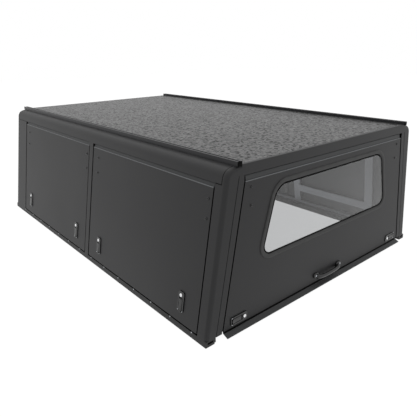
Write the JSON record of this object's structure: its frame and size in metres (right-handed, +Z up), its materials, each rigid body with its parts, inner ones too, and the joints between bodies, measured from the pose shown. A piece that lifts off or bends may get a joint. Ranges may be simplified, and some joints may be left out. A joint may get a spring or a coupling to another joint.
{
  "type": "pickup truck canopy",
  "caption": "Hard canopy for a pickup truck's load bed, with leaning side walls, lift-up side doors, a lift-up rear hatch with a window, roof rails and lever latches.",
  "frame": {"origin": "middle of the bounding box, at the underside of the base seals", "axes": "+X to the truck's right, +Y forward to the cab, +Z up"},
  "size_m": [1.498, 2.144, 0.688],
  "materials": {
    "powder_coat": "fine-textured satin charcoal powder coat on aluminium",
    "anodised_black": "black satin, extruded",
    "latch_coat": "smooth satin black on die-cast metal",
    "tinted_glass": "polished, grey tint",
    "rubber": "matt extruded rubber"
  },
  "bodies": {
    "canopy": {"base_seals": "rubber", "front_beam": "powder_coat", "front_panel": "powder_coat", "header_front": "powder_coat", "header_left": "powder_coat", "header_rear": "powder_coat", "header_right": "powder_coat", "mullion_left": "powder_coat", "mullion_right": "powder_coat", "post_front_left": "powder_coat", "post_front_right": "powder_coat", "post_rear_left": "powder_coat", "post_rear_right": "powder_coat", "roof_panel": "powder_coat", "roof_rail_left": "anodised_black", "roof_rail_right": "anodised_black", "sill_left": "powder_coat", "sill_right": "powder_coat"},
    "door_front_left": {"door_frame_front_left": "powder_coat", "door_latches_front_left": "latch_coat", "door_panel_front_left": "powder_coat"},
    "door_front_right": {"door_frame_front_right": "powder_coat", "door_latches_front_right": "latch_coat", "door_panel_front_right": "powder_coat"},
    "door_rear_left": {"door_frame_rear_left": "powder_coat", "door_latches_rear_left": "latch_coat", "door_panel_rear_left": "powder_coat"},
    "door_rear_right": {"door_frame_rear_right": "powder_coat", "door_latches_rear_right": "latch_coat", "door_panel_rear_right": "powder_coat"},
    "hatch": {"hatch_flap": "powder_coat", "hatch_frame": "powder_coat", "hatch_latch_left": "latch_coat", "hatch_latch_right": "latch_coat", "hatch_panel": "powder_coat", "pull_handle": "anodised_black", "window_gasket": "rubber", "window_glass": "tinted_glass"},
    "lever_front_left_aft": {"lever_front_left_aft": "latch_coat"},
    "lever_front_left_fore": {"lever_front_left_fore": "latch_coat"},
    "lever_front_right_aft": {"lever_front_right_aft": "latch_coat"},
    "lever_front_right_fore": {"lever_front_right_fore": "latch_coat"},
    "lever_hatch_left": {"lever_hatch_left": "latch_coat"},
    "lever_hatch_right": {"lever_hatch_right": "latch_coat"},
    "lever_rear_left_aft": {"lever_rear_left_aft": "latch_coat"},
    "lever_rear_left_fore": {"lever_rear_left_fore": "latch_coat"},
    "lever_rear_right_aft": {"lever_rear_right_aft": "latch_coat"},
    "lever_rear_right_fore": {"lever_rear_right_fore": "latch_coat"}
  },
  "joints": [
    {"name": "door_rear_left_hinge", "type": "hinge", "parent": "canopy", "child": "door_rear_left", "pos_m": [-0.6342, -0.5331, 0.595], "axis": [0, 1, 0], "range_deg": [0, 90]},
    {"name": "door_front_left_hinge", "type": "hinge", "parent": "canopy", "child": "door_front_left", "pos_m": [-0.6342, 0.4284, 0.595], "axis": [0, 1, 0], "range_deg": [0, 90]},
    {"name": "door_rear_right_hinge", "type": "hinge", "parent": "canopy", "child": "door_rear_right", "pos_m": [0.6342, -0.5331, 0.595], "axis": [0, -1, 0], "range_deg": [0, 90]},
    {"name": "door_front_right_hinge", "type": "hinge", "parent": "canopy", "child": "door_front_right", "pos_m": [0.6342, 0.4284, 0.595], "axis": [0, -1, 0], "range_deg": [0, 90]},
    {"name": "hatch_hinge", "type": "hinge", "parent": "canopy", "child": "hatch", "pos_m": [0, -1.024, 0.617], "axis": [-1, 0, 0], "range_deg": [0, 90]},
    {"name": "lever_rear_left_aft_pivot", "type": "hinge", "parent": "door_rear_left", "child": "lever_rear_left_aft", "pos_m": [-0.72779, -0.869, 0.12707], "axis": [0, 1, 0], "range_deg": [0, 70], "stiffness_Nm_per_rad": 0.05, "springref_deg": -17.19},
    {"name": "lever_rear_left_fore_pivot", "type": "hinge", "parent": "door_rear_left", "child": "lever_rear_left_fore", "pos_m": [-0.72779, -0.1745, 0.12707], "axis": [0, 1, 0], "range_deg": [0, 70], "stiffness_Nm_per_rad": 0.05, "springref_deg": -17.19},
    {"name": "lever_front_left_aft_pivot", "type": "hinge", "parent": "door_front_left", "child": "lever_front_left_aft", "pos_m": [-0.72779, 0.0925, 0.12707], "axis": [0, 1, 0], "range_deg": [0, 70], "stiffness_Nm_per_rad": 0.05, "springref_deg": -17.19},
    {"name": "lever_front_left_fore_pivot", "type": "hinge", "parent": "door_front_left", "child": "lever_front_left_fore", "pos_m": [-0.72779, 0.787, 0.12707], "axis": [0, 1, 0], "range_deg": [0, 70], "stiffness_Nm_per_rad": 0.05, "springref_deg": -17.19},
    {"name": "lever_hatch_left_pivot", "type": "hinge", "parent": "hatch", "child": "lever_hatch_left", "pos_m": [-0.56679, -1.0375, 0.057], "axis": [0, 0, 1], "range_deg": [0, 70], "stiffness_Nm_per_rad": 0.05, "springref_deg": -17.19},
    {"name": "lever_rear_right_aft_pivot", "type": "hinge", "parent": "door_rear_right", "child": "lever_rear_right_aft", "pos_m": [0.72779, -0.869, 0.12707], "axis": [0, -1, 0], "range_deg": [0, 70], "stiffness_Nm_per_rad": 0.05, "springref_deg": -17.19},
    {"name": "lever_rear_right_fore_pivot", "type": "hinge", "parent": "door_rear_right", "child": "lever_rear_right_fore", "pos_m": [0.72779, -0.1745, 0.12707], "axis": [0, -1, 0], "range_deg": [0, 70], "stiffness_Nm_per_rad": 0.05, "springref_deg": -17.19},
    {"name": "lever_front_right_aft_pivot", "type": "hinge", "parent": "door_front_right", "child": "lever_front_right_aft", "pos_m": [0.72779, 0.0925, 0.12707], "axis": [0, -1, 0], "range_deg": [0, 70], "stiffness_Nm_per_rad": 0.05, "springref_deg": -17.19},
    {"name": "lever_front_right_fore_pivot", "type": "hinge", "parent": "door_front_right", "child": "lever_front_right_fore", "pos_m": [0.72779, 0.787, 0.12707], "axis": [0, -1, 0], "range_deg": [0, 70], "stiffness_Nm_per_rad": 0.05, "springref_deg": -17.19},
    {"name": "lever_hatch_right_pivot", "type": "hinge", "parent": "hatch", "child": "lever_hatch_right", "pos_m": [0.56679, -1.0375, 0.057], "axis": [0, 0, -1], "range_deg": [0, 70], "stiffness_Nm_per_rad": 0.05, "springref_deg": -17.19}
  ]
}
